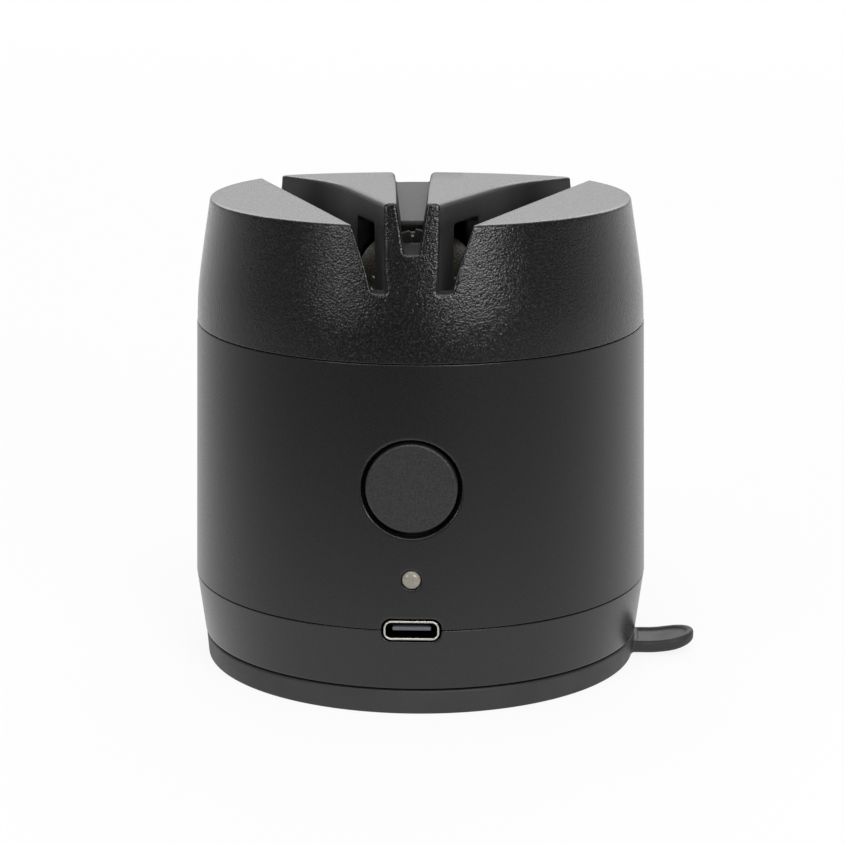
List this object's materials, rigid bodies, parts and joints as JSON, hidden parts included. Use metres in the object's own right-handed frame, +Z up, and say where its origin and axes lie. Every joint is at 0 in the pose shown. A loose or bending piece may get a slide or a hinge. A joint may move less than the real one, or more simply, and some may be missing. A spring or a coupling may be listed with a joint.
{
  "type": "electric knife sharpener",
  "caption": "Round tower knife sharpener with a slotted head, a motor-driven grinding wheel, a push button, a lamp, a charging socket and a suction foot with a pull tab.",
  "frame": {"origin": "on the tower's axis, in the plane of the table that the foot stands on", "axes": "+Z up, -Y the front with the button, lamp and socket, +X the side of the pull tab"},
  "size_m": [0.0853, 0.0768, 0.0833],
  "materials": {
    "grained_black": "fine grained satin",
    "inner_black": "matt",
    "soft_rubber": "matt",
    "button_grey": "fine matt",
    "steel": "satin",
    "zinc": "plated",
    "brass": "turned",
    "abrasive": "coated with fine abrasive",
    "ceramic": "ground ceramic",
    "cell_wrap": "shrink wrap over a metal can",
    "board_green": "lacquered laminate",
    "chip_black": "moulded",
    "switch_white": "moulded",
    "lamp_milky": "milky light pipe",
    "socket_steel": "polished"
  },
  "bodies": {
    "housing": {"suction_foot": "soft_rubber", "base_shell": "grained_black", "body_sleeve": "grained_black", "head_housing": "grained_black", "motor_bracket": "inner_black", "motor_can": "zinc", "motor_end_cap": "inner_black", "motor_terminal_left": "brass", "motor_terminal_right": "brass", "motor_screw_left": "steel", "motor_screw_right": "steel", "finishing_plate_left": "ceramic", "finishing_plate_right": "ceramic", "battery_cell": "cell_wrap", "battery_cradle": "inner_black", "battery_contact_top": "steel", "battery_contact_bottom": "steel", "main_board": "board_green", "charge_chip": "chip_black", "press_switch": "chip_black", "button_collar": "inner_black", "lamp_lens": "lamp_milky", "lamp_diode": "switch_white", "usb_shell": "socket_steel", "usb_tongue": "chip_black", "board_screw_left": "zinc", "board_screw_right": "zinc", "base_screw_1": "zinc", "base_screw_2": "zinc", "base_screw_3": "zinc", "base_screw_4": "zinc", "bracket_screw_1": "zinc", "bracket_screw_2": "zinc", "bracket_screw_3": "zinc"},
    "rotor": {"motor_shaft": "steel", "wheel_hub": "brass", "grinding_wheel": "abrasive", "wheel_nut": "steel"},
    "button": {"button_cap": "button_grey", "switch_plunger": "switch_white"}
  },
  "joints": [
    {"name": "wheel_spin", "type": "hinge", "parent": "housing", "child": "rotor", "pos_m": [0, -0.01443, 0.0629], "axis": [0, 0, 1], "continuous": true},
    {"name": "button_press", "type": "slide", "parent": "housing", "child": "button", "axis": [0, 1, 0], "range_m": [0, 0.0007], "stiffness_N_per_m": 1500}
  ]
}
